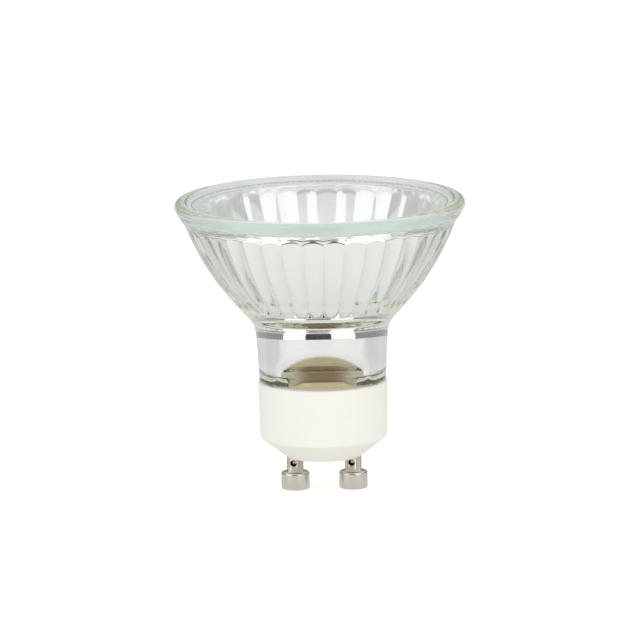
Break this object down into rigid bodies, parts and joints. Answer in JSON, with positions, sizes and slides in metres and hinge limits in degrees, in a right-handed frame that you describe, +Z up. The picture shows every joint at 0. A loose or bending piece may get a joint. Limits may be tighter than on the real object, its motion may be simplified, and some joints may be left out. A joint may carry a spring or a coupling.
{
  "type": "lava lamp bulb",
  "caption": "Halogen reflector bulb with a fluted glass bowl, clear cover glass, ceramic base and twist-lock contact pins.",
  "frame": {"origin": "on the floor under the bulb's axis, level with the undersides of the two contact pins", "axes": "+Z up the bulb's axis towards the cover glass; the two contact pins lie on the X axis; the slanted flats of the neck face -Y and +Y"},
  "size_m": [0.05, 0.05, 0.0507],
  "materials": {
    "reflector_glass": "polished",
    "cover_glass": "polished",
    "mirror_film": "polished",
    "silicone": "satin",
    "ceramic": "satin",
    "cement": "rough",
    "quartz": "polished",
    "nickel": "polished",
    "wire": "satin",
    "weld": "polished",
    "tungsten": "satin"
  },
  "bodies": {
    "root": {"reflector": "reflector_glass", "front_lens": "cover_glass", "lens_seal": "silicone", "ceramic_base": "ceramic", "base_cement": "cement", "burner_cement": "cement", "burner_envelope": "quartz", "filament": "tungsten", "contact_pin_left": "nickel", "contact_pin_right": "nickel", "weld_bead_left": "weld", "weld_bead_right": "weld", "lead_wire_left": "wire", "lead_wire_right": "wire", "inner_lead_left": "wire", "inner_lead_right": "wire", "seal_foil_left": "wire", "seal_foil_right": "wire"}
  },
  "joints": []
}
